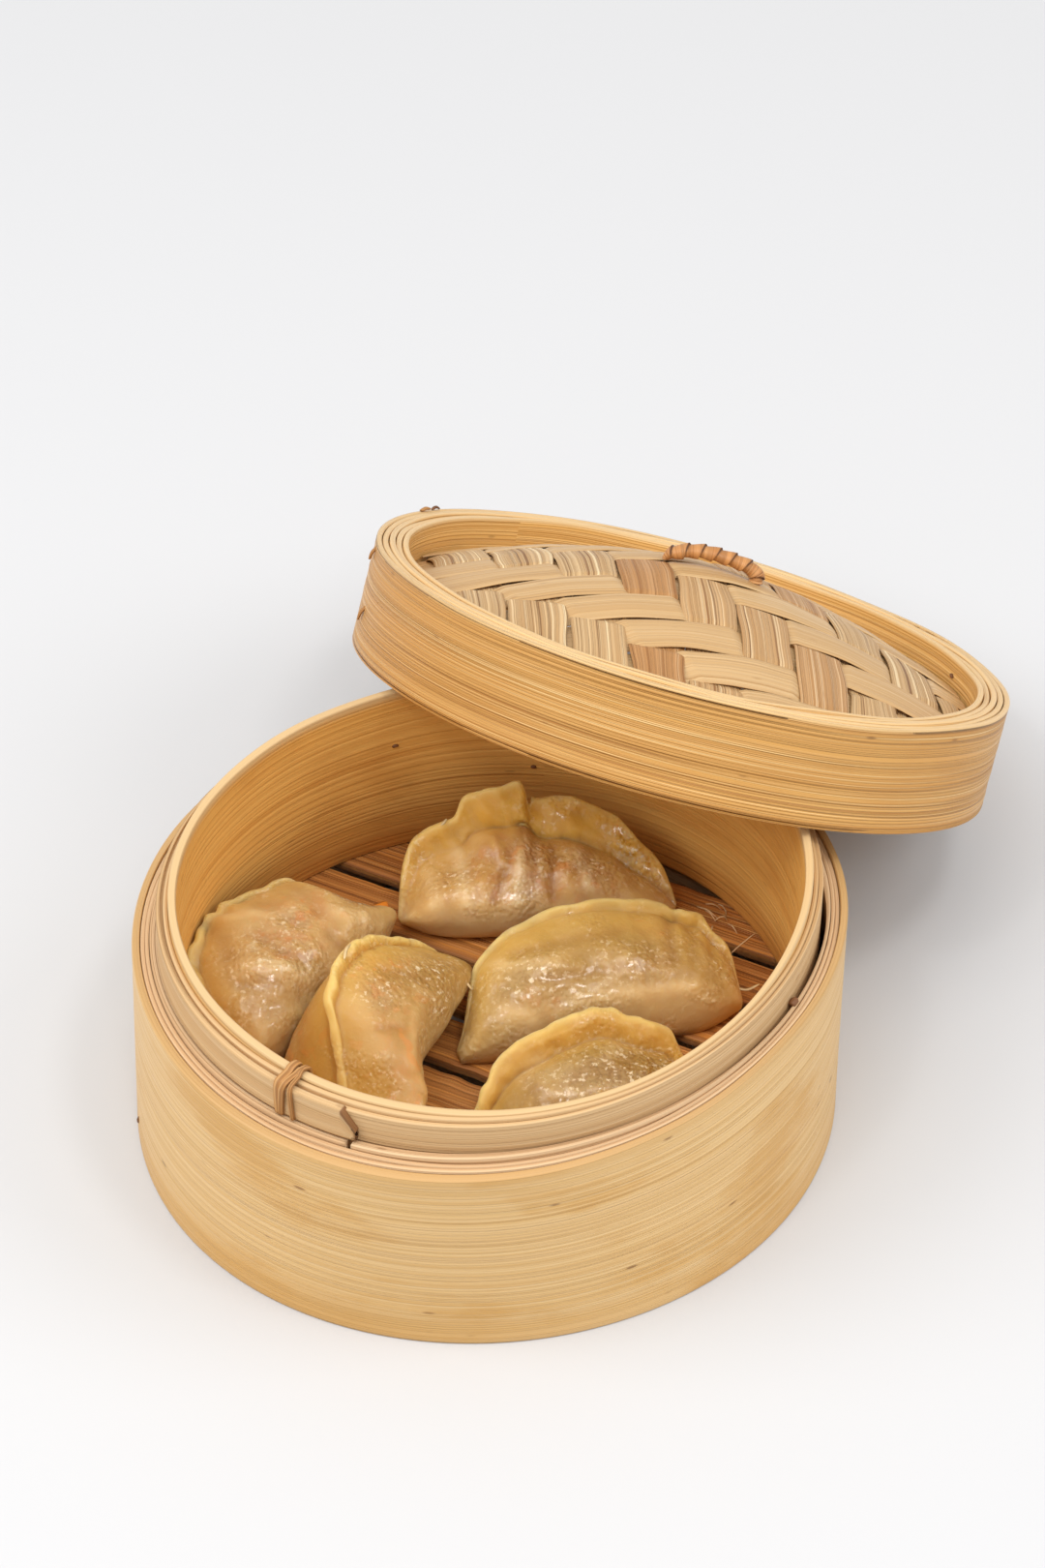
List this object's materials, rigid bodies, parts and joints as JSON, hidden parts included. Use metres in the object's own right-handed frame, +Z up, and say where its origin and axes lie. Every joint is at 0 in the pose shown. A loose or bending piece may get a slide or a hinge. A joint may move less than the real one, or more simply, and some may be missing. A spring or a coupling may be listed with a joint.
{
  "type": "gyoza in a steamer basket",
  "caption": "Half-moon steamed dumplings on the slatted floor of a round bamboo steamer basket, with its woven lid, topped by a wrapped handle, leaning on the rim.",
  "frame": {"origin": "middle of the underside of the whole part, on the table", "axes": "+Z up; +Y away from the viewer of the picture; +X to the right in the picture"},
  "size_m": [0.2542, 0.3148, 0.1262],
  "materials": {
    "outer_band": "satin bamboo skin with fine streaks",
    "collar": "satin split bamboo",
    "winding": "split bamboo, dull edges",
    "lashing": "split rattan",
    "floor_slat": "raw fibrous bamboo, moist",
    "lid_hoop": "satin bamboo with fine ribs",
    "pale_strip": "smooth pale bamboo strip",
    "fibrous_strip": "fibrous bamboo strip",
    "handle_cane": "wrapped rattan",
    "dough": "moist steamed dough, soft sheen"
  },
  "bodies": {
    "root": {"outer_band": "outer_band", "outer_winding": "winding", "inner_winding": "winding", "outer_collar": "collar", "inner_collar": "collar", "lashing_1": "lashing", "lashing_2": "lashing", "floor_slat_1": "floor_slat", "floor_slat_2": "floor_slat", "floor_slat_3": "floor_slat", "floor_slat_4": "floor_slat", "floor_slat_5": "floor_slat", "floor_slat_6": "floor_slat", "floor_slat_7": "floor_slat", "floor_slat_8": "floor_slat", "gyoza_left": "dough", "gyoza_front_left": "dough", "gyoza_back": "dough", "gyoza_right": "dough", "gyoza_front": "dough", "lid_layer_1": "lid_hoop", "lid_layer_2": "lid_hoop", "lid_layer_3": "lid_hoop", "lid_layer_4": "lid_hoop", "lid_layer_5": "lid_hoop", "weave_across_1": "pale_strip", "weave_across_2": "pale_strip", "weave_across_3": "pale_strip", "weave_across_4": "pale_strip", "weave_across_5": "pale_strip", "weave_across_6": "pale_strip", "weave_across_7": "pale_strip", "weave_across_8": "pale_strip", "weave_across_9": "pale_strip", "weave_across_10": "pale_strip", "weave_across_11": "pale_strip", "weave_along_1": "fibrous_strip", "weave_along_2": "fibrous_strip", "weave_along_3": "fibrous_strip", "weave_along_4": "fibrous_strip", "weave_along_5": "fibrous_strip", "weave_along_6": "fibrous_strip", "weave_along_7": "fibrous_strip", "weave_along_8": "fibrous_strip", "weave_along_9": "fibrous_strip", "weave_along_10": "fibrous_strip", "lid_handle": "handle_cane"}
  },
  "joints": []
}
